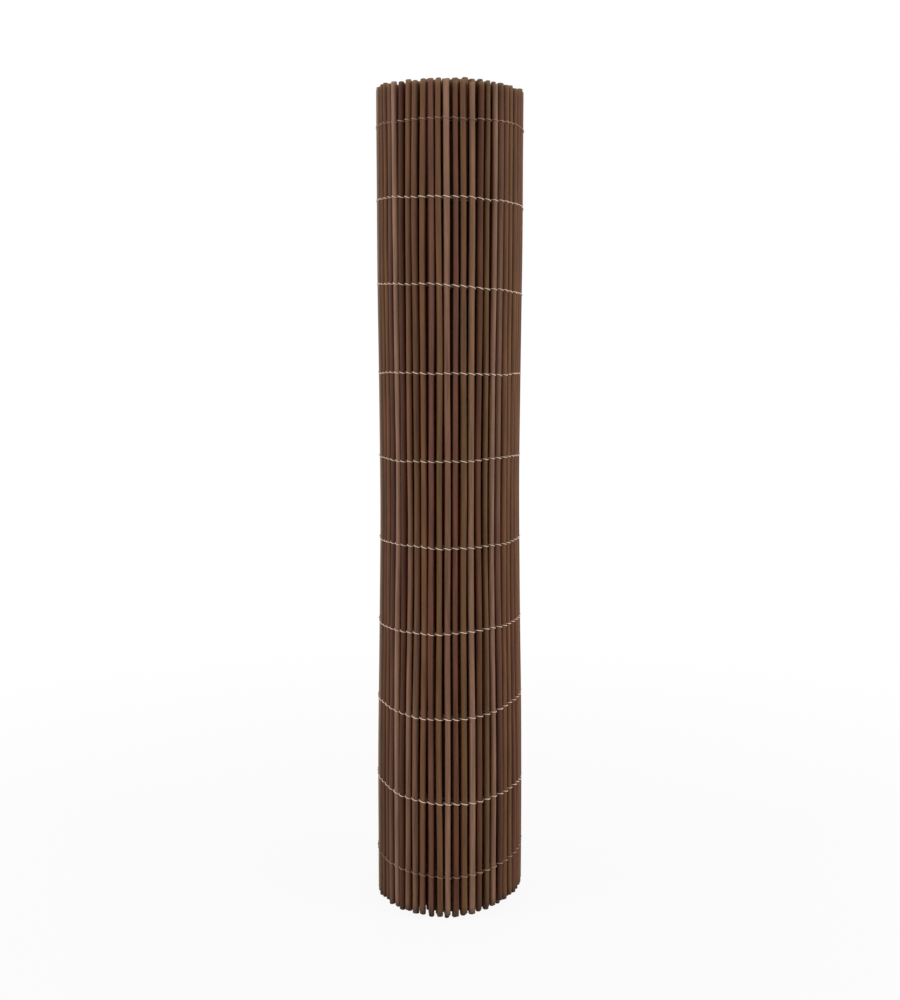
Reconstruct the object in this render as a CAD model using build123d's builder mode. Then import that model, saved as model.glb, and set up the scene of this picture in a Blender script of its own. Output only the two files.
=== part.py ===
from build123d import *
from math import acos, ceil, cos, degrees, pi, radians, sin, sqrt
import os

# Rolled privacy screen: a mat of thin rods bound by rows of wire, rolled up and standing on its end.
# The axis of the roll is +Z, the lowest rods stand on z = 0 and the mat's free edge lies at the back, +Y.

# Driving sizes, in millimetres and degrees
mat_height = 1000.0
mat_length = 3000.0
rod_diameter = 6.6
rod_pitch = 9.8
core_radius = 24.0
free_edge_angle = 90.0
end_step = 1.0
end_levels = 7
end_stride = 3
outer_rod_sides = 8
inner_rod_sides = 6
wire_rows = 10
end_row_margin = 50.0
next_row_margin = 140.0
wire_thickness = 0.6
wire_width = 1.4
wire_corner_rise = 0.6
seat_clearance = 0.1

# Sizes that follow from the driving sizes
rod_radius = rod_diameter / 2
rod_count = round(mat_length / rod_pitch)
rod_length = mat_height - (end_levels - 1) * end_step
row_pitch = (mat_height - 2 * next_row_margin) / (wire_rows - 3)
wire_inside = rod_radius + seat_clearance
wire_outside = wire_inside + wire_thickness
turn_pitch = rod_diameter + wire_thickness + wire_corner_rise + 2 * seat_clearance


def spiral_radius(angle):
    """Radius of the rod centres: an even spiral that grows by one turn pitch a turn."""
    return core_radius + turn_pitch * angle / (2 * pi)


def spiral_angle(run):
    """Angle wound from the core, in radians, by a run of mat measured along the rod centres."""
    return (sqrt(core_radius**2 + turn_pitch * run / pi) - core_radius) * 2 * pi / turn_pitch


mat_end = spiral_angle(rod_count * rod_pitch)
outer_turn_start = mat_end - 2 * pi
turn_count = ceil(mat_end / (2 * pi))


def polar_direction(angle):
    """Direction seen from the axis, in radians, of a place on the spiral."""
    return radians(free_edge_angle) - mat_end + angle


def spiral_point(angle, radius):
    """Point in the plan, from the axis of the spiral."""
    return radius * cos(polar_direction(angle)), radius * sin(polar_direction(angle))


def wire_step(angle):
    """Angle between wire corners that stand out from the flats between them by the corner rise."""
    return 2 * acos(1 / (1 + wire_corner_rise / (spiral_radius(angle) + wire_inside)))


def wire_corners(start, offset):
    """Corners of a taut wire from the free edge back to a start, its flats an offset from the rod centres."""
    angles = [mat_end]
    while angles[-1] - wire_step(angles[-1]) > start:
        angles.append(angles[-1] - wire_step(angles[-1]))
    angles.append(start)
    return [spiral_point(a, (spiral_radius(a) + offset) / cos(wire_step(a) / 2)) for a in angles]


# A spiral reaches further on the side of its free edge, so the roll stands about the middle of its reach
reach = wire_corners(outer_turn_start, wire_outside)
middle_x = (min(x for x, y in reach) + max(x for x, y in reach)) / 2
middle_y = (min(y for x, y in reach) + max(y for x, y in reach)) / 2


def rod_places(turn, level):
    """Places of the rods of one turn, counted from the outside, whose lower ends share one level."""
    places = []
    for rod in range(rod_count):
        angle = spiral_angle((rod + 0.5) * rod_pitch)
        rod_turn = 1 + int((mat_end - angle) / (2 * pi))
        if rod_turn == turn and rod * end_stride % end_levels == level:
            x, y = spiral_point(angle, spiral_radius(angle))
            turned = degrees(polar_direction(angle))
            places.append(Location((x - middle_x, y - middle_y, 0), (0, 0, turned)))
    return places


def placed(points):
    """Points in the plan, moved to the middle of the roll's reach."""
    return [(x - middle_x, y - middle_y) for x, y in points]


def row_height(row):
    """Height of a wire row, counted from the top: an end row near each end, and even rows between them."""
    if row == 1:
        return mat_height - end_row_margin
    if row == wire_rows:
        return end_row_margin
    return mat_height - next_row_margin - (row - 2) * row_pitch


os.makedirs("parts", exist_ok=True)

# Rods, one group for each turn of the roll, their ends ragged in small steps
for turn in range(1, turn_count + 1):
    with BuildPart() as rods:
        for level in range(end_levels):
            places = rod_places(turn, level)
            if places:
                with BuildSketch(Plane.XY.offset(level * end_step)):
                    with Locations(*places):
                        RegularPolygon(rod_radius, outer_rod_sides if turn == 1 else inner_rod_sides)
                extrude(amount=rod_length)
    rods.part.label = f"rods_turn_{turn}"
    export_step(rods.part, f"parts/rods_turn_{turn}.step")

# Binding wires, counted from the top: the two end rows run through every turn to the core,
# and the rows between them, hidden inside the roll, are made round the outer turn
for row in range(1, wire_rows + 1):
    wire_start = 0 if row in (1, wire_rows) else outer_turn_start
    inner_side = placed(wire_corners(wire_start, wire_inside))
    outer_side = placed(wire_corners(wire_start, wire_outside))
    with BuildPart() as wire:
        with BuildSketch(Plane.XY.offset(row_height(row) - wire_width / 2)):
            with BuildLine():
                Polyline(*inner_side, *reversed(outer_side), close=True)
            make_face()
        extrude(amount=wire_width)
    wire.part.label = f"binding_wire_{row}"
    export_step(wire.part, f"parts/binding_wire_{row}.step")
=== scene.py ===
"""Dresses the rolled privacy screen: round willow-look rods in a spiral, bound by rows of twisted wire."""

import math

import bpy
import numpy as np
from bpy.props import FloatProperty, FloatVectorProperty, IntProperty, PointerProperty
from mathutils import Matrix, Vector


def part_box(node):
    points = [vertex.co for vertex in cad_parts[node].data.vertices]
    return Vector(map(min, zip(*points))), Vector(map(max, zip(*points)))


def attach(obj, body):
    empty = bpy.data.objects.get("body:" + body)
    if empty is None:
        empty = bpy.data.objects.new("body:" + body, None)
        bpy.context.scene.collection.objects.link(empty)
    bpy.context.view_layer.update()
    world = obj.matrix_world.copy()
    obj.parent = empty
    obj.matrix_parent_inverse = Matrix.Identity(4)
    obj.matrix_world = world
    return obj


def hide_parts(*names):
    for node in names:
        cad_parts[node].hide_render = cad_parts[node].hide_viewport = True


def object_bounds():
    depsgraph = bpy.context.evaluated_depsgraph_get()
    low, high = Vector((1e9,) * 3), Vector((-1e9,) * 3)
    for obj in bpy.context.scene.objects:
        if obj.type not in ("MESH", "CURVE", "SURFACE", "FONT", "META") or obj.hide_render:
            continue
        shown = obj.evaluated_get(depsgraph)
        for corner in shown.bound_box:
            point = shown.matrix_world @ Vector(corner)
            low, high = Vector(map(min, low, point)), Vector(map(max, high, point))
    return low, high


bl_info = {
    "name": "Rolled Privacy Screen",
    "version": (1, 0, 0),
    "blender": (4, 5, 0),
    "location": "View3D > Sidebar > Privacy Screen",
    "description": "Dresses a rolled mat of willow-look rods bound by twisted wire",
    "category": "Add Mesh",
}

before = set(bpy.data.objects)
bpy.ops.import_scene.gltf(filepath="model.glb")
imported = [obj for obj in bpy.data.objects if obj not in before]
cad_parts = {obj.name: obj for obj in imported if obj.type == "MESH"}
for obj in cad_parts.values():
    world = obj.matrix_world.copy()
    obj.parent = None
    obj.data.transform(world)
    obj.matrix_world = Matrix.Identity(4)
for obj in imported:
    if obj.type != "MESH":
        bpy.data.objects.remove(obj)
CAD_BOX = [list(corner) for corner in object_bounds()]
BODY = "root"
ROD_PREFIX = "rods_turn_"
WIRE_PREFIX = "binding_wire_"
MAT_HEIGHT = CAD_BOX[1][2] - CAD_BOX[0][2]
FULL_TURN = 2 * np.pi

# Heights at which the roll is fully open above and below its waist, as shares of the mat's height
OPEN_ABOVE = 0.86
OPEN_BELOW = 0.12

# How far rods differ: thickness, taper and sway as shares, and lean in metres
RADIUS_SPREAD = 0.08
RADIUS_RANGE = (0.82, 1.12)
TAPER = 0.07
SWAY_RANGE = (0.3, 1.0)
LEAN_SPREAD = 0.0007

# Sine waves along a rod: how many there are in its length, and how strong they are
SWAY_WAVES = ((1.3, 1.0), (3.1, 0.5))
SWELL_WAVES = ((1.7, 0.03), (5.3, 0.02))

# Rod ends, in metres: how uneven they are, how far the outer tops in front stand below the mat's height,
# and how much higher each inner turn stands than the one outside it
UNEVEN_ENDS = 0.0012
OUTER_TOP_DROP = 0.005
INNER_TOP_STEP = 0.001

# Inner turns: how many of them step up, how ragged they are as a share, and how many turns share the lift
INNER_TOP_STEPS = 4
INNER_RAGGEDNESS = 0.5
LIFTED_TURNS = 4

# Surface of a rod: its sides and rings, the distances from an end of the rings near it, in metres,
# the width of the end ring as a share of the rod's, and the slope of a sawn end
OUTER_ROD_GRID = (14, 44)
INNER_ROD_GRID = (6, 9)
END_RINGS = (0.0, 0.0004, 0.004, 0.010)
RIM = 0.9
SAW_SLOPE = 0.12

# Shades of the rods: how common each is, how bright rods are, and how one shade drifts to another along a rod
SHADE_SHARES = {"cocoa": 0.36, "rose_tan": 0.20, "chestnut": 0.18, "olive": 0.10, "plum": 0.08, "ash": 0.08}
BRIGHTNESS_SPREAD = 0.13
BRIGHTNESS_RANGE = (0.7, 1.35)
DRIFT_WAVES = 0.9
DRIFT_DEPTH = 0.6

# Colours near a rod's ends and inside the roll: how strong each is, and how far from the end it reaches, in
# metres.
# The top is paler, lifted further by a painted highlight; the foot takes a painted shade; and away from their
# ends the rods inside the roll take a painted shade for the shadow deep in the roll
PALE_TOP_AND_HIGHLIGHT = 0.22
PALE_REACH = 0.006
PAINTED_FOOT_SHARE = 0.7
PAINTED_FOOT_REACH = 0.010
PAINTED_INNER_REACH = 0.05

# Strands of wire: samples from rod to rod, and sides
OUTER_STRAND = (10, 6)
INNER_STRAND = (4, 4)

# Share of half the rod pitch that a strand may reach from a rod's centre
STRAND_ROOM = 0.95

# Sine waves along a row of wire: their length in rods, and how strong they are
WANDER_WAVES = ((23.0, 1.0), (9.3, 0.6), (4.7, 0.4))

# Tone of a strand: its range from rod to rod, how soon it comes out of the painted shade in the gaps to full
# brightness in front of a rod, and the lengths in rods of the two waves that make dull patches
STRAND_TONES = (0.8, 1.0)
FRONT_GAIN = 1.1
PATCH_LENGTHS = (19.0, 31.0)

# Height below which rows are low ones, and the height over which that comes in, as shares of the mat's height
LOW_ROWS = 0.40
LOW_ROWS_FADE = 0.16

# Steps from the roll's seed to the seeds of the shades, the sawn ends and the wires
SHADE_SEED = 1
END_SEED = 2
WIRE_SEED = 40

# Long grain: its fineness, the values between which it swings, and the roughness that it gives
GRAIN_DETAIL = 4.0
GRAIN_ROUGHNESS = 0.6
GRAIN_MIDDLE = 0.5
GRAIN_SWING = (0.3, 0.7)
SURFACE_ROUGHNESS = (0.5, 0.75)

# Place and width of each lamp, in metres, and the setting that holds its power
LAMPS = {
    "key_light": ((2.2, -1.1, 1.5), 0.8, "key_power"),
    "fill_light": ((-2.2, -1.1, 1.4), 0.8, "fill_power"),
    "back_light": ((0.3, 2.6, 1.5), 1.6, "back_power"),
}

# Floor, in metres: half its width, its level, and the distances between which it fades to white
FLOOR_REACH = 8.0
FLOOR_LEVEL = -0.0004
FLOOR_FADE = (0.2, 1.5)

SENSOR_WIDTH = 36.0


def numbered_nodes(prefix):
    """Names of the nodes that share a prefix, in the order of their numbers."""
    found = [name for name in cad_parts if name.startswith(prefix)]
    return sorted(found, key=lambda name: int(name[len(prefix):]))


ROD_NODES = numbered_nodes(ROD_PREFIX)
WIRE_NODES = numbered_nodes(WIRE_PREFIX)


def linear(*screen):
    """Linear colour of a colour given as it looks on a screen, from 0 to 255, by the sRGB formula."""
    level = np.array(screen) / 255.0
    return tuple(np.where(level <= 0.04045, level / 12.92, ((level + 0.055) / 1.055) ** 2.4))


def smooth_step(value):
    """Eased rise from 0 to 1: 3v² - 2v³, held level outside that range."""
    held = np.clip(value, 0.0, 1.0)
    return held * held * (3.0 - 2.0 * held)


def size(name, description, default):
    """A length in metres that a user can change."""
    return FloatProperty(name=name, description=description, default=default, unit="LENGTH", precision=5)


def angle(name, description, default):
    """An angle in radians that a user can change."""
    return FloatProperty(name=name, description=description, default=default, subtype="ANGLE")


def watts(name, description, default):
    """The power of a lamp that a user can change."""
    return FloatProperty(name=name, description=description, default=default, unit="POWER")


def whole(name, description, default):
    """A whole number that a user can change."""
    return IntProperty(name=name, description=description, default=default)


def share(name, description, default):
    """A share, from 0 to 1, that a user can change."""
    return FloatProperty(name=name, description=description, default=default,
                         min=0.0, max=1.0, subtype="FACTOR")


def colour(name, description, *screen):
    """A colour that a user can change, its default given as it looks on a screen."""
    return FloatVectorProperty(name=name, description=description, default=linear(*screen), size=3,
                               min=0.0, max=1.0, subtype="COLOR")


class RollSizes(bpy.types.PropertyGroup):
    """Sizes of the mat and of the roll that it is wound into"""

    mat_length: size("Mat length", "Length of the mat before it was rolled", 3.0)
    rod_pitch: size("Rod pitch", "Distance from rod to rod along the mat", 0.0098)
    outer_rod: size("Outer rod", "Thickness of an average rod of the outer turn", 0.0068)
    inner_rod: size("Inner rod", "Thickness of an average rod inside the roll", 0.0066)
    core_radius: size("Core radius", "Radius at which the innermost rods stand", 0.024)
    turn_pitch: size("Turn pitch", "Distance from turn to turn of the roll", 0.008)
    free_edge: angle("Free edge", "Direction of the mat's free edge", math.pi / 2)
    waist_height: share("Waist height", "Height of the roll's waist, as a share of the mat's height", 0.53)
    waist_pinch: size("Waist pinch", "How far the outer turn is drawn in at the waist", 0.0032)
    top_flare: size("Top flare", "How far the outer turn opens from the waist to the top", 0.0024)
    foot_flare: size("Foot flare", "How far the outer turn opens from the waist to the foot", 0.0052)
    end_step: size("End step", "Step between the levels of the ragged rod ends", 0.001)
    end_levels: whole("End levels", "Number of levels of the ragged rod ends", 7)
    end_stride: whole("End stride", "Levels from one rod's end to the next rod's", 3)
    raggedness: share("Raggedness", "Share of the end steps that the rods of the outer turn show", 0.5)
    foot_gap: size("Foot gap", "Height of the outer turn's lowest ends above the floor", 0.0040)
    right_lift: size("Right lift", "How much higher the outer turns' lower ends are on the right", 0.0095)
    side_rise: size("Side rise", "How much higher the outer turn's tops are at the sides", 0.006)
    left_rise: size("Left rise", "How much higher still the outer turn's tops are on the left", 0.004)
    sway: size("Sway", "How far a rod wanders sideways between the wires", 0.0009)
    seed: whole("Seed", "Start of the random differences between rods", 60)


class RodColours(bpy.types.PropertyGroup):
    """Shades of the rods, with painted shade at the foot and inside the roll and a painted highlight at the top
    """

    cocoa: colour("Cocoa", "Most common shade", 112, 76, 52)
    rose_tan: colour("Rose tan", "Lighter, pinkish shade", 139, 104, 84)
    chestnut: colour("Chestnut", "Darker, redder shade", 94, 59, 42)
    olive: colour("Olive", "Yellowish shade", 106, 77, 50)
    plum: colour("Plum", "Purplish shade", 95, 62, 50)
    ash: colour("Ash", "Greyish shade", 101, 77, 58)
    # Paler sawn top, lifted further by a painted highlight for the bright rims of the tops
    pale_top_and_highlight: colour("Cut top", "Pale sawn top of a rod", 190, 163, 127)
    # Painted shade: the dark sawn foot and the rod sides just above it, where the floor shades them
    painted_foot_shade: colour("Cut foot", "Dusty sawn foot of a rod", 62, 51, 44)
    # Painted shade: a dark red-brown that the rods inside the roll take, for the shadow deep in the roll
    core: colour("Core", "Redder shade of the rods deep inside the roll", 140, 66, 28)
    painted_inner_shade_share: share("Core share", "How much of the core's shade the inner rods take", 0.9)


class WireLooks(bpy.types.PropertyGroup):
    """Sizes and shades of the binding wires, with the painted shade where they twist between rods"""

    diameter: size("Strand diameter", "Thickness of one strand of wire", 0.0011)
    twist: size("Twist", "How far a strand rises and falls about its row", 0.0009)
    # Painted shade: how dark the strands are painted where they twist back into the gap between two rods
    painted_gap_shade: share("Gap shade", "Brightness of the strands where they twist between two rods", 0.22)
    rise: size("Rise", "How far every row stands above even spacing", 0.0045)
    bow: size("Bow", "How much further the rows stand above even spacing at mid-height", 0.0055)
    side_lift: size("Side lift", "How much higher a row is at the sides than in front", 0.0035)
    low_lift: size("Low lift", "How much higher still the lowest rows are at the sides", 0.008)
    wander: size("Wander", "How far a row wanders up and down", 0.0008)
    lean: FloatVectorProperty(
        name="Lean", description="How far each row, from the top, drops towards the right",
        default=(0.0015, 0.0045, 0.006, 0.001, -0.001, 0.0, -0.0025, -0.0025, 0.002, -0.0035),
        size=10, unit="LENGTH")
    wear: FloatVectorProperty(
        name="Wear", description="How far each row, from the top, is dulled in patches",
        default=(0.45, 0.0, 0.0, 0.0, 0.1, 0.1, 0.0, 0.0, 0.0, 0.65), size=10)
    bright: colour("Bright wire", "Pale coated wire of the middle rows", 250, 222, 202)
    dull: colour("Dull wire", "Browner wire of the two end rows", 206, 164, 138)


class StageSettings(bpy.types.PropertyGroup):
    """Camera, floor and light"""

    eye_distance: size("Eye distance", "Distance of the camera from the roll's axis", 1.456)
    eye_height: size("Eye height", "Height of the camera above the floor", 0.65)
    lens: FloatProperty(name="Lens", description="Focal length in millimetres on a 36 mm sensor", default=41.9)
    look_down: angle("Look down", "How far the camera looks down", math.radians(5.6))
    floor: colour("Floor", "Plain pale floor", 205, 205, 205)
    floor_white: share("Floor white", "Part of the floor round the roll that shows as plain white", 0.92)
    key_power: watts("Key power", "Light from the right", 25.0)
    fill_power: watts("Fill power", "Light from the left", 20.0)
    back_power: watts("Back power", "Light from behind", 8.0)
    ambient: share("Ambient", "Even light from all round", 0.56)


class Roll:
    """Where every rod of the roll stands, and how it departs from a straight and even rod."""

    def __init__(self, sizes):
        rng = np.random.default_rng(sizes.seed)
        self.sizes = sizes
        self.count = round(sizes.mat_length / sizes.rod_pitch)
        self.place_rods()
        self.vary_rods(rng)
        self.cut_ends(rng)

    def place_rods(self):
        """Distance and direction of each rod from the roll's axis, at an even pitch along the wound mat."""
        sizes = self.sizes
        wound = self.wound_angle((np.arange(self.count) + 0.5) * sizes.rod_pitch)
        edge = self.wound_angle(self.count * sizes.rod_pitch)
        self.distance = sizes.core_radius + sizes.turn_pitch * wound / FULL_TURN
        self.direction = sizes.free_edge - edge + wound
        self.turn = ((edge - wound) / FULL_TURN).astype(int)
        self.outer = self.turn == 0
        self.middle = self.find_middle()

    def vary_rods(self, rng):
        """Random differences between rods: thickness, taper, swellings, lean and sway."""
        sizes, count = self.sizes, self.count
        average = np.where(self.outer, sizes.outer_rod, sizes.inner_rod) / 2
        self.radius = average * np.clip(rng.normal(1.0, RADIUS_SPREAD, count), *RADIUS_RANGE)
        self.taper = rng.uniform(-TAPER, TAPER, count)
        self.swell_phase = rng.uniform(0.0, FULL_TURN, (count, len(SWELL_WAVES)))
        self.lean = rng.normal(0.0, LEAN_SPREAD, count)
        self.sway = rng.uniform(*SWAY_RANGE, (count, len(SWAY_WAVES))) * sizes.sway
        self.sway_phase = rng.uniform(0.0, FULL_TURN, (count, len(SWAY_WAVES)))

    def cut_ends(self, rng):
        """Heights of each rod's foot and top: ragged levels, with lifts that ease in round the roll's sides."""
        sizes = self.sizes
        level = np.arange(self.count) * sizes.end_stride % sizes.end_levels
        level = level * sizes.end_step * sizes.raggedness
        inner_level = level * INNER_RAGGEDNESS
        right = smooth_step(np.cos(self.direction))
        left = smooth_step(-np.cos(self.direction))
        side = 1.0 - np.abs(np.sin(self.direction))
        uneven = rng.uniform(0.0, UNEVEN_ENDS, (2, self.count))
        lift = sizes.right_lift * right * np.clip(1.0 - self.turn / LIFTED_TURNS, 0.0, 1.0)
        self.foot = np.where(self.outer, sizes.foot_gap + level + uneven[0], inner_level) + lift
        outer_top = MAT_HEIGHT - OUTER_TOP_DROP + level + sizes.side_rise * side
        outer_top = outer_top + sizes.left_rise * left + uneven[1]
        inner_top = MAT_HEIGHT + INNER_TOP_STEP * np.minimum(self.turn, INNER_TOP_STEPS) + inner_level
        self.top = np.where(self.outer, outer_top, inner_top)

    def wound_angle(self, run):
        """Angle wound from the core by a run of mat, on a spiral that grows by one turn pitch a turn."""
        sizes = self.sizes
        reach = np.sqrt(sizes.core_radius**2 + sizes.turn_pitch * run / np.pi)
        return (reach - sizes.core_radius) * FULL_TURN / sizes.turn_pitch

    def find_middle(self):
        """Axis of the spiral: the middle of the outer turn's box, less the middle of its rods."""
        low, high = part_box(ROD_NODES[0])
        x = self.distance[self.outer] * np.cos(self.direction[self.outer])
        y = self.distance[self.outer] * np.sin(self.direction[self.outer])
        return ((low.x + high.x - x.min() - x.max()) / 2, (low.y + high.y - y.min() - y.max()) / 2)

    def opening(self, height):
        """Scale of the roll's plan at a height: drawn in at the waist, eased out to the top and the foot."""
        sizes = self.sizes
        up = height / MAT_HEIGHT
        above = smooth_step((up - sizes.waist_height) / (OPEN_ABOVE - sizes.waist_height))
        below = smooth_step((sizes.waist_height - up) / (sizes.waist_height - OPEN_BELOW))
        outward = sizes.top_flare * above + sizes.foot_flare * below - sizes.waist_pinch
        return 1.0 + outward / self.distance.max()

    def centre(self, rods, height):
        """Distance and direction of rod centres at a height: the spiral's place, a lean and two sine waves."""
        up = height / MAT_HEIGHT
        sideways = self.lean[rods] * (2.0 * up - 1.0)
        for wave, (cycles, strength) in enumerate(SWAY_WAVES):
            swing = np.sin(FULL_TURN * cycles * up + self.sway_phase[rods, wave])
            sideways = sideways + strength * self.sway[rods, wave] * swing
        distance = self.distance[rods] * self.opening(height)
        return distance, self.direction[rods] + sideways / distance

    def thickness(self, rods, height):
        """Radius of rods at a height: the rod's own radius with a taper and two slow swellings."""
        up = height / MAT_HEIGHT
        swell = 0.0
        for wave, (cycles, strength) in enumerate(SWELL_WAVES):
            swell = swell + strength * np.sin(FULL_TURN * cycles * up + self.swell_phase[rods, wave])
        return self.radius[rods] * (1.0 + self.taper[rods] * (up - 0.5) + swell)

    def plan(self, distance, direction):
        """Points in the plan at a distance and direction from the roll's axis."""
        return self.middle[0] + distance * np.cos(direction), self.middle[1] + distance * np.sin(direction)


def grid_quads(strips, rows, sides):
    """Faces of closed tubes laid end to end: each joins two points of a ring to the next ring's two."""
    strip, row, side = np.meshgrid(np.arange(strips), np.arange(rows - 1), np.arange(sides), indexing="ij")
    base = (strip * rows + row) * sides
    after = (side + 1) % sides
    corners = [base + side, base + after, base + sides + after, base + sides + side]
    return np.stack(corners, -1).reshape(-1, 4)


def cap_fans(strips, rows, sides):
    """Triangles that close both ends of each tube on two centre points that follow all of the rings."""
    strip, side = np.meshgrid(np.arange(strips), np.arange(sides), indexing="ij")
    after = (side + 1) % sides
    first = strip * rows * sides
    last = first + (rows - 1) * sides
    centres = strips * rows * sides + 2 * strip
    start = np.stack([centres, first + after, first + side], -1)
    end = np.stack([centres + 1, last + side, last + after], -1)
    return np.stack([start, end], 1).reshape(-1, 3)


def add_piece(name, points, quads, triangles, colours, materials):
    """A mesh object from whole arrays: smooth quads in the first material, flat end triangles in the last."""
    mesh = bpy.data.meshes.new(name)
    corners = np.concatenate([quads.ravel(), triangles.ravel()]).astype(np.int32)
    starts = np.concatenate([np.arange(len(quads)) * 4, len(quads) * 4 + np.arange(len(triangles)) * 3])
    mesh.vertices.add(len(points))
    mesh.vertices.foreach_set("co", points.astype(np.float32).ravel())
    mesh.loops.add(len(corners))
    mesh.loops.foreach_set("vertex_index", corners)
    mesh.polygons.add(len(starts))
    mesh.polygons.foreach_set("loop_start", starts.astype(np.int32))
    for material in materials:
        mesh.materials.append(material)
    slots = np.zeros(len(starts), np.int32)
    slots[len(quads):] = len(materials) - 1
    mesh.polygons.foreach_set("material_index", slots)
    mesh.polygons.foreach_set("use_smooth", np.arange(len(starts)) < len(quads))
    mesh.update(calc_edges=True)
    if mesh.validate():
        raise RuntimeError(f"{name} had faces that could not be kept")
    shade = mesh.attributes.new("shade", "FLOAT_COLOR", "POINT")
    shade.data.foreach_set("color", colours.astype(np.float32).ravel())
    piece = bpy.data.objects.new(name, mesh)
    bpy.context.scene.collection.objects.link(piece)
    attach(piece, BODY)
    return piece


def rod_shades(roll, colours):
    """Two shades for each rod, drawn by how common they are, its brightness and the phase of its drift."""
    rng = np.random.default_rng(roll.sizes.seed + SHADE_SEED)
    palette = np.array([getattr(colours, name) for name in SHADE_SHARES])
    picks = rng.choice(len(palette), (roll.count, 2), p=list(SHADE_SHARES.values()))
    brightness = np.clip(rng.normal(1.0, BRIGHTNESS_SPREAD, roll.count), *BRIGHTNESS_RANGE)
    phase = rng.uniform(0.0, FULL_TURN, roll.count)
    return palette[picks], brightness, phase


def ring_shades(roll, rods, colours, height):
    """Shade of each ring of each rod, by its height.

    It drifts along a sine wave between the rod's two shades. Inside the roll, away from the ends, it eases to a
    painted shade for the shadow deep in the roll; at the top to the pale sawn top with a painted highlight; at
    the foot to a painted shade.
    """
    from_foot = height - roll.foot[rods][:, None]
    from_top = roll.top[rods][:, None] - height
    shades, brightness, phase = rod_shades(roll, colours)
    drift = 0.5 + 0.5 * np.sin(FULL_TURN * DRIFT_WAVES * height / MAT_HEIGHT + phase[rods][:, None])
    second = DRIFT_DEPTH * drift[..., None]
    mixed = shades[rods, 0][:, None] * (1.0 - second) + shades[rods, 1][:, None] * second
    mixed = mixed * brightness[rods][:, None, None]
    # Painted shade: rods inside the roll turn to the dark red-brown away from their ends
    inner_shade_amount = np.where(roll.outer[rods], 0.0, colours.painted_inner_shade_share)[:, None]
    inner_shade_amount = inner_shade_amount * smooth_step(np.minimum(from_foot, from_top) / PAINTED_INNER_REACH)
    # Pale top: the paler sawn end, lifted further by a painted highlight
    pale = PALE_TOP_AND_HIGHLIGHT * (1.0 - smooth_step(from_top / PALE_REACH))
    # Painted shade towards the foot
    foot_shade = PAINTED_FOOT_SHARE * (1.0 - smooth_step(from_foot / PAINTED_FOOT_REACH))
    for amount, tint in ((inner_shade_amount, colours.core), (pale, colours.pale_top_and_highlight), (foot_shade, colours.painted_foot_shade)):
        mixed = mixed + amount[..., None] * (np.asarray(tint) - mixed)
    return mixed


def rod_surface(roll, rods, colours, sides, rings):
    """Rods as tubes: rings round each rod's centre line, from its foot to its top.

    A ring at height z is centre(z) + thickness(z) · (cos a, sin a). The first and last rings are drawn in for
    the rim, and each end falls away by |slope · place| to both sides of a line across it, as a sawn end does.
    """
    rng = np.random.default_rng(roll.sizes.seed + END_SEED + int(rods[0]))
    foot, top = roll.foot[rods][:, None], roll.top[rods][:, None]
    near_end = np.array(END_RINGS)
    along = np.linspace(0.0, 1.0, rings - 2 * len(near_end) + 2)[1:-1]
    height = np.concatenate([foot + near_end, foot + along * (top - foot), top - near_end[::-1]], axis=1)
    which = np.broadcast_to(rods[:, None], height.shape)
    radius = roll.thickness(which, height)
    radius[:, [0, -1]] *= RIM
    x, y = roll.plan(*roll.centre(which, height))
    around = np.linspace(0.0, FULL_TURN, sides, endpoint=False)
    ring_x = radius[..., None] * np.cos(around)
    ring_y = radius[..., None] * np.sin(around)
    ring_z = np.repeat(height[..., None], sides, axis=2)
    slopes = rng.uniform(-SAW_SLOPE, SAW_SLOPE, (2, len(rods), 2))[..., None, None]
    for slope, end_rings, inward in zip(slopes, (slice(0, 2), slice(-2, None)), (1.0, -1.0)):
        fall = np.abs(slope[:, 0] * ring_x[:, end_rings] + slope[:, 1] * ring_y[:, end_rings])
        ring_z[:, end_rings] += inward * fall
    tubes = np.stack([x[..., None] + ring_x, y[..., None] + ring_y, ring_z], -1).reshape(-1, 3)
    ends = [np.stack([x[:, end], y[:, end], height[:, end]], -1) for end in (0, -1)]
    points = np.concatenate([tubes, np.stack(ends, 1).reshape(-1, 3)])
    shade = ring_shades(roll, rods, colours, height)
    tube_shade = np.repeat(shade[:, :, None], sides, axis=2).reshape(-1, 3)
    # Sawn ends: the foot takes a painted shade, the top its paler colour with a painted highlight
    end_shade = np.tile(np.array([colours.painted_foot_shade, colours.pale_top_and_highlight]), (len(rods), 1))
    rgba = np.ones((len(points), 4))
    rgba[:, :3] = np.concatenate([tube_shade, end_shade])
    return points, grid_quads(len(rods), rings, sides), cap_fans(len(rods), rings, sides), rgba


def row_level(looks, row, height, toward):
    """Height of a row of wire in a direction: raised above even spacing, most at mid-height.

    It rises to the sides by 1 - |sin|, the lowest rows by cos² as well, and drops to the right by its lean.
    """
    up = height / MAT_HEIGHT
    level = height + looks.rise + looks.bow * np.sin(np.pi * up)
    level = level + looks.side_lift * (1.0 - np.abs(np.sin(toward)))
    level = level + looks.low_lift * np.cos(toward) ** 2 * smooth_step((LOW_ROWS - up) / LOW_ROWS_FADE)
    return level - looks.lean[row] * np.cos(toward)


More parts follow.
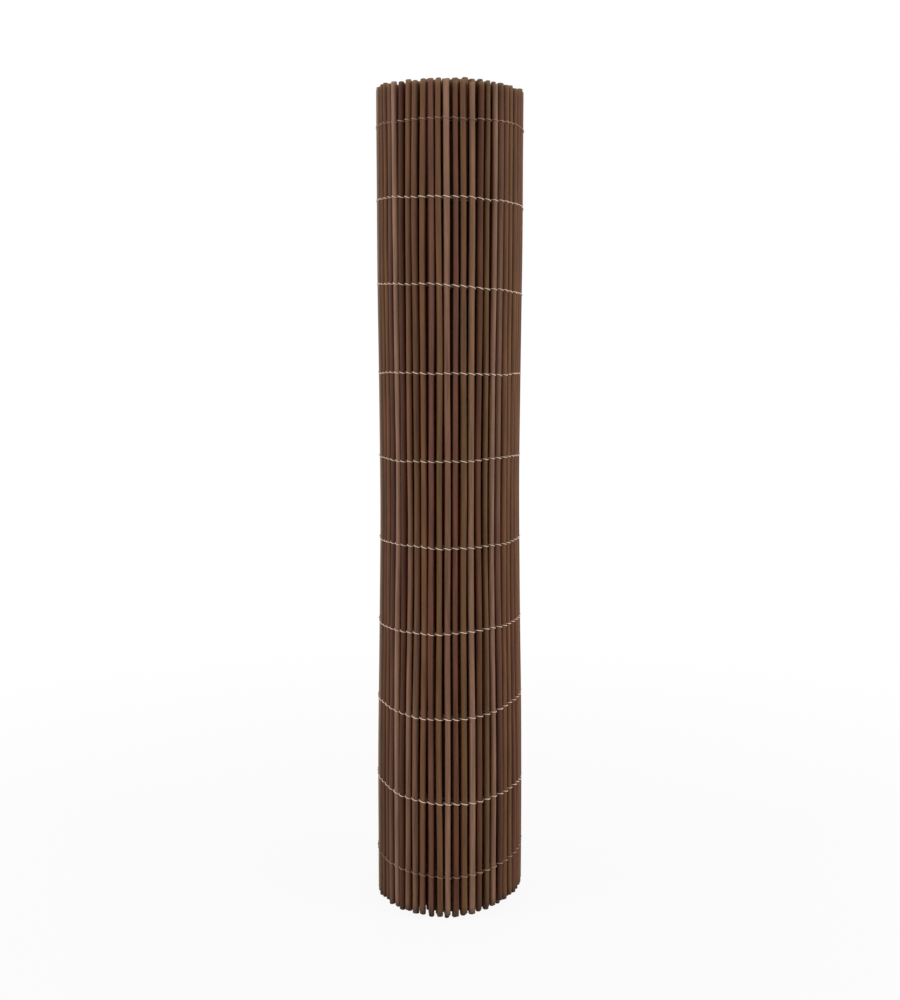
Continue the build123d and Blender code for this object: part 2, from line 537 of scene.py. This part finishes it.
def strand_path(roll, looks, row, height, strand, rods, samples):
    """Centre line of one strand along a row of wire, and its tone, darkened by painted shade in the gaps
    between rods.

    Over a rod the strand lies on its round, radius = sqrt(reach² - t²), and between rods it runs straight
    through the gap to the far side of the next rod, so it is in front of every other rod. It falls as it passes
    in front and rises as it passes behind, by the twist.
    """
    rng = np.random.default_rng(roll.sizes.seed + WIRE_SEED + row)
    place = np.arange(rods[0] * samples, rods[-1] * samples + 1) / samples
    rod = np.rint(place).astype(int)
    across = (place - rod) * roll.sizes.rod_pitch
    half = roll.sizes.rod_pitch / 2
    every = np.arange(roll.count)
    distance, direction = roll.centre(every, height)
    reach = np.minimum(roll.thickness(rod, height) + looks.diameter / 2, STRAND_ROOM * half)
    touch = reach**2 / half
    on_rod = np.sqrt(np.maximum(reach**2 - across**2, 0.0))
    in_gap = np.sqrt(reach**2 - touch**2) * (half - np.abs(across)) / (half - touch)
    side = np.where((rod + strand) % 2 == 0, 1.0, -1.0)
    offset = side * np.where(np.abs(across) <= touch, on_rod, in_gap)
    toward = np.interp(place, every, direction)
    x, y = roll.plan(np.interp(place, every, distance) + offset, toward)
    phase = rng.uniform(0.0, FULL_TURN, len(WANDER_WAVES))
    wander = 0.0
    for (length, strength), start in zip(WANDER_WAVES, phase):
        wander = wander + strength * np.sin(FULL_TURN * place / length + start)
    z = row_level(looks, row, height, toward) + looks.wander * wander
    z = z - looks.twist * np.sin(np.pi * (place + strand))
    # Painted shade: the strand darkens as it goes back into the gap between rods
    tone = looks.painted_gap_shade + (1.0 - looks.painted_gap_shade) * smooth_step(offset / reach * FRONT_GAIN)
    first, second = (FULL_TURN * place / length for length in PATCH_LENGTHS)
    worn = 0.5 * looks.wear[row] * (1.0 + np.sin(first + phase[1]) * np.cos(second))
    return np.stack([x, y, z], -1), tone * (1.0 - worn) * rng.uniform(*STRAND_TONES, roll.count)[rod]


def strand_surface(path, radius, sides):
    """A round tube along a path: rings across its tangent T, from N, level and square to it, to B = T × N."""
    tangent = np.gradient(path, axis=0)
    tangent /= np.linalg.norm(tangent, axis=1, keepdims=True)
    normal = np.stack([tangent[:, 1], -tangent[:, 0], np.zeros(len(path))], -1)
    normal /= np.linalg.norm(normal, axis=1, keepdims=True)
    other = np.cross(tangent, normal)
    around = np.linspace(0.0, FULL_TURN, sides, endpoint=False)[None, :, None]
    rings = path[:, None] + radius * (np.cos(around) * normal[:, None] + np.sin(around) * other[:, None])
    return np.concatenate([rings.reshape(-1, 3), path[[0, -1]]])


def wire_surface(roll, looks, row, height, tint):
    """A row of wire: two strands round the outer turn, and two with fewer faces on through the inner turns."""
    every = np.arange(roll.count)
    outer = every[roll.outer]
    inner = every[: outer[0] + 1]
    points, quads, triangles, tones, count = [], [], [], [], 0
    for rods, (samples, sides) in ((outer, OUTER_STRAND), (inner, INNER_STRAND)):
        for strand in (0, 1):
            path, tone = strand_path(roll, looks, row, height, strand, rods, samples)
            tube = strand_surface(path, looks.diameter / 2, sides)
            quads.append(grid_quads(1, len(path), sides) + count)
            triangles.append(cap_fans(1, len(path), sides) + count)
            points.append(tube)
            tones.append(np.concatenate([np.repeat(tone, sides), tone[[0, -1]]]))
            count += len(tube)
    rgba = np.ones((count, 4))
    rgba[:, :3] = np.concatenate(tones)[:, None] * np.asarray(tint)
    return np.concatenate(points), np.concatenate(quads), np.concatenate(triangles), rgba


def grain_group():
    """Fine grain drawn out along one direction: streaks that lighten, darken and roughen a surface."""
    group = bpy.data.node_groups.new("Long Grain", "ShaderNodeTree")
    sockets = (
        ("Colour", "INPUT", "NodeSocketColor"),
        ("Stretch", "INPUT", "NodeSocketVector"),
        ("Contrast", "INPUT", "NodeSocketFloat"),
        ("Colour", "OUTPUT", "NodeSocketColor"),
        ("Roughness", "OUTPUT", "NodeSocketFloat"),
        ("Height", "OUTPUT", "NodeSocketFloat"),
    )
    for name, way, kind in sockets:
        group.interface.new_socket(name=name, in_out=way, socket_type=kind)
    nodes, links = group.nodes, group.links
    given = nodes.new("NodeGroupInput")
    result = nodes.new("NodeGroupOutput")
    place = nodes.new("ShaderNodeTexCoord")
    mapping = nodes.new("ShaderNodeMapping")
    streak = nodes.new("ShaderNodeTexNoise")
    streak.inputs["Scale"].default_value = 1.0
    streak.inputs["Detail"].default_value = GRAIN_DETAIL
    streak.inputs["Roughness"].default_value = GRAIN_ROUGHNESS
    links.new(place.outputs["Object"], mapping.inputs["Vector"])
    links.new(given.outputs["Stretch"], mapping.inputs["Scale"])
    links.new(mapping.outputs["Vector"], streak.inputs["Vector"])
    centred = nodes.new("ShaderNodeMath")
    centred.operation = "SUBTRACT"
    centred.inputs[1].default_value = GRAIN_MIDDLE
    links.new(streak.outputs["Fac"], centred.inputs[0])
    strength = nodes.new("ShaderNodeMath")
    strength.operation = "MULTIPLY_ADD"
    strength.inputs[2].default_value = 1.0
    links.new(centred.outputs[0], strength.inputs[0])
    links.new(given.outputs["Contrast"], strength.inputs[1])
    tinted = nodes.new("ShaderNodeVectorMath")
    tinted.operation = "SCALE"
    links.new(given.outputs["Colour"], tinted.inputs[0])
    links.new(strength.outputs[0], tinted.inputs["Scale"])
    rough = nodes.new("ShaderNodeMapRange")
    rough.inputs["From Min"].default_value = GRAIN_SWING[0]
    rough.inputs["From Max"].default_value = GRAIN_SWING[1]
    rough.inputs["To Min"].default_value = SURFACE_ROUGHNESS[0]
    rough.inputs["To Max"].default_value = SURFACE_ROUGHNESS[1]
    links.new(streak.outputs["Fac"], rough.inputs["Value"])
    links.new(tinted.outputs["Vector"], result.inputs["Colour"])
    links.new(rough.outputs["Result"], result.inputs["Roughness"])
    links.new(streak.outputs["Fac"], result.inputs["Height"])
    return group


def grained_material(name, stretch, contrast, relief, bump_depth, gloss):
    """A material whose colour is the piece's shade, painted shade and highlight included, broken up by the long
    grain, with relief to match.
    """
    material = bpy.data.materials.new(name)
    material.use_nodes = True
    nodes, links = material.node_tree.nodes, material.node_tree.links
    surface = nodes["Principled BSDF"]
    surface.inputs["Specular IOR Level"].default_value = gloss
    shade = nodes.new("ShaderNodeAttribute")
    shade.attribute_name = "shade"
    grain = nodes.new("ShaderNodeGroup")
    grain.node_tree = bpy.data.node_groups.get("Long Grain") or grain_group()
    grain.inputs["Stretch"].default_value = stretch
    grain.inputs["Contrast"].default_value = contrast
    bump = nodes.new("ShaderNodeBump")
    bump.inputs["Strength"].default_value = relief
    bump.inputs["Distance"].default_value = bump_depth
    links.new(shade.outputs["Color"], grain.inputs["Colour"])
    links.new(grain.outputs["Colour"], surface.inputs["Base Color"])
    links.new(grain.outputs["Roughness"], surface.inputs["Roughness"])
    links.new(grain.outputs["Height"], bump.inputs["Height"])
    links.new(bump.outputs["Normal"], surface.inputs["Normal"])
    return material


def background_rays(nodes, links):
    """A socket that is 1 for the rays that show the background: the camera's own, mirrored and bent ones."""
    path = nodes.new("ShaderNodeLightPath")
    seen = path.outputs["Is Camera Ray"]
    for kind in ("Is Glossy Ray", "Is Transmission Ray"):
        either = nodes.new("ShaderNodeMath")
        either.operation = "MAXIMUM"
        links.new(seen, either.inputs[0])
        links.new(path.outputs[kind], either.inputs[1])
        seen = either.outputs[0]
    return seen


class SCREEN_OT_rods(bpy.types.Operator):
    """Makes the rods of each turn of the roll, in place of the plain ones"""

    bl_idname = "privacy_screen.rods"
    bl_label = "Willow-look Rods"

    def execute(self, context):
        roll = Roll(context.scene.screen_roll)
        colours = context.scene.screen_rods
        skin = grained_material("willow_rod_skin", stretch=(320.0, 320.0, 14.0), contrast=1.7,
                                relief=0.4, bump_depth=0.0006, gloss=0.15)
        sawn = grained_material("sawn_rod_end", stretch=(900.0, 900.0, 900.0), contrast=0.9,
                                relief=0.5, bump_depth=0.0004, gloss=0.1)
        for turn, node in enumerate(ROD_NODES):
            rods = np.flatnonzero(roll.turn == turn)
            grid = OUTER_ROD_GRID if turn == 0 else INNER_ROD_GRID
            surface = rod_surface(roll, rods, colours, *grid)
            piece = add_piece(f"willow_rods_{turn + 1}", *surface, [skin, sawn])
            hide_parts(node)
        return {"FINISHED"}


class SCREEN_OT_wires(bpy.types.Operator):
    """Makes the twisted pair of strands of each row of binding wire, in place of the plain bands"""

    bl_idname = "privacy_screen.wires"
    bl_label = "Twisted Wires"

    def execute(self, context):
        roll = Roll(context.scene.screen_roll)
        looks = context.scene.screen_wires
        coat = grained_material("coated_wire", stretch=(700.0, 700.0, 700.0), contrast=0.5,
                                relief=0.2, bump_depth=0.0002, gloss=0.4)
        for row, node in enumerate(WIRE_NODES):
            low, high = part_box(node)
            end_row = row in (0, len(WIRE_NODES) - 1)
            tint = looks.dull if end_row else looks.bright
            surface = wire_surface(roll, looks, row, (low.z + high.z) / 2, tint)
            piece = add_piece(f"twisted_wire_{row + 1}", *surface, [coat])
            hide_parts(node)
        return {"FINISHED"}


class SCREEN_OT_stage(bpy.types.Operator):
    """Sets the pale floor, the soft studio light and the camera"""

    bl_idname = "privacy_screen.stage"
    bl_label = "Studio"

    def execute(self, context):
        stage = context.scene.screen_stage
        self.floor(stage)
        self.world(context.scene, stage)
        for name, (place, width, power) in LAMPS.items():
            self.lamp(name, place, width, getattr(stage, power))
        self.camera(context.scene, stage)
        context.scene.view_settings.view_transform = "Standard"
        return {"FINISHED"}

    @staticmethod
    def floor(stage):
        """A wide flat square: its middle is lit a little, to keep the roll's shadow, and fades to plain white.

        Only the rays that show the background see it white.
        """
        mesh = bpy.data.meshes.new("studio_floor")
        signs = ((-1, -1), (1, -1), (1, 1), (-1, 1))
        corners = [(x * FLOOR_REACH, y * FLOOR_REACH, FLOOR_LEVEL) for x, y in signs]
        mesh.from_pydata(corners, [], [(0, 1, 2, 3)])
        floor = bpy.data.objects.new("studio_floor", mesh)
        bpy.context.scene.collection.objects.link(floor)
        material = bpy.data.materials.new("studio_floor")
        material.use_nodes = True
        nodes, links = material.node_tree.nodes, material.node_tree.links
        nodes.remove(nodes["Principled BSDF"])
        lit = nodes.new("ShaderNodeBsdfDiffuse")
        lit.inputs["Color"].default_value = (*stage.floor, 1.0)
        white = nodes.new("ShaderNodeEmission")
        place = nodes.new("ShaderNodeTexCoord")
        away = nodes.new("ShaderNodeVectorMath")
        away.operation = "LENGTH"
        fade = nodes.new("ShaderNodeMapRange")
        fade.inputs["From Min"].default_value = FLOOR_FADE[0]
        fade.inputs["From Max"].default_value = FLOOR_FADE[1]
        fade.inputs["To Min"].default_value = stage.floor_white
        part = nodes.new("ShaderNodeMath")
        part.operation = "MULTIPLY"
        mix = nodes.new("ShaderNodeMixShader")
        links.new(place.outputs["Object"], away.inputs[0])
        links.new(away.outputs["Value"], fade.inputs["Value"])
        links.new(fade.outputs["Result"], part.inputs[0])
        links.new(background_rays(nodes, links), part.inputs[1])
        links.new(part.outputs[0], mix.inputs["Fac"])
        links.new(lit.outputs[0], mix.inputs[1])
        links.new(white.outputs[0], mix.inputs[2])
        links.new(mix.outputs[0], nodes["Material Output"].inputs["Surface"])
        mesh.materials.append(material)

    @staticmethod
    def world(scene, stage):
        """White to the rays that show the background, and a softer even light on the roll."""
        world = bpy.data.worlds.new("studio_world")
        world.use_nodes = True
        nodes, links = world.node_tree.nodes, world.node_tree.links
        strength = nodes.new("ShaderNodeMapRange")
        strength.inputs["To Min"].default_value = stage.ambient
        strength.inputs["To Max"].default_value = 1.0
        links.new(background_rays(nodes, links), strength.inputs["Value"])
        links.new(strength.outputs["Result"], nodes["Background"].inputs["Strength"])
        nodes["Background"].inputs["Color"].default_value = (1.0, 1.0, 1.0, 1.0)
        scene.world = world

    @staticmethod
    def lamp(name, place, width, power):
        """A square soft light that faces the middle of the roll."""
        data = bpy.data.lights.new(name, "AREA")
        data.shape = "SQUARE"
        data.size = width
        data.energy = power
        lamp = bpy.data.objects.new(name, data)
        bpy.context.scene.collection.objects.link(lamp)
        lamp.location = place
        middle = np.array([0.0, 0.0, MAT_HEIGHT / 2])
        x, y, z = middle - np.array(place)
        lamp.rotation_euler = (math.acos(-z / math.dist(middle, place)), 0.0, math.atan2(-x, y))

    @staticmethod
    def camera(scene, stage):
        """A camera in front of the roll and above its middle, that looks down a little."""
        data = bpy.data.cameras.new("camera")
        data.lens = stage.lens
        data.sensor_width = SENSOR_WIDTH
        camera = bpy.data.objects.new("camera", data)
        scene.collection.objects.link(camera)
        camera.location = (0.0, -stage.eye_distance, stage.eye_height)
        camera.rotation_euler = (math.pi / 2 - stage.look_down, 0.0, 0.0)
        scene.camera = camera


class SCREEN_PT_sidebar(bpy.types.Panel):
    """Lists the sizes, the shades and the steps of the rolled screen"""

    bl_label = "Privacy Screen"
    bl_idname = "SCREEN_PT_sidebar"
    bl_space_type = "VIEW_3D"
    bl_region_type = "UI"
    bl_category = "Privacy Screen"

    def draw(self, context):
        for operator in OPERATORS:
            self.layout.operator(operator.bl_idname)
        for name in SETTINGS:
            box = self.layout.box()
            settings = getattr(context.scene, name)
            for prop in settings.bl_rna.properties:
                if not prop.is_readonly and prop.identifier != "name":
                    box.prop(settings, prop.identifier)


SETTINGS = {
    "screen_roll": RollSizes,
    "screen_rods": RodColours,
    "screen_wires": WireLooks,
    "screen_stage": StageSettings,
}
OPERATORS = (SCREEN_OT_rods, SCREEN_OT_wires, SCREEN_OT_stage)


def register():
    """Registers the settings, the operators and the panel."""
    for name, settings in SETTINGS.items():
        bpy.utils.register_class(settings)
        setattr(bpy.types.Scene, name, PointerProperty(type=settings))
    for item in (*OPERATORS, SCREEN_PT_sidebar):
        bpy.utils.register_class(item)


def unregister():
    """Takes back what register added."""
    for item in (SCREEN_PT_sidebar, *OPERATORS):
        bpy.utils.unregister_class(item)
    for name, settings in SETTINGS.items():
        delattr(bpy.types.Scene, name)
        bpy.utils.unregister_class(settings)


def main():
    """Dresses the roll step by step."""
    register()
    bpy.ops.privacy_screen.rods()
    bpy.ops.privacy_screen.wires()
    bpy.ops.privacy_screen.stage()


if __name__ == "__main__":
    main()
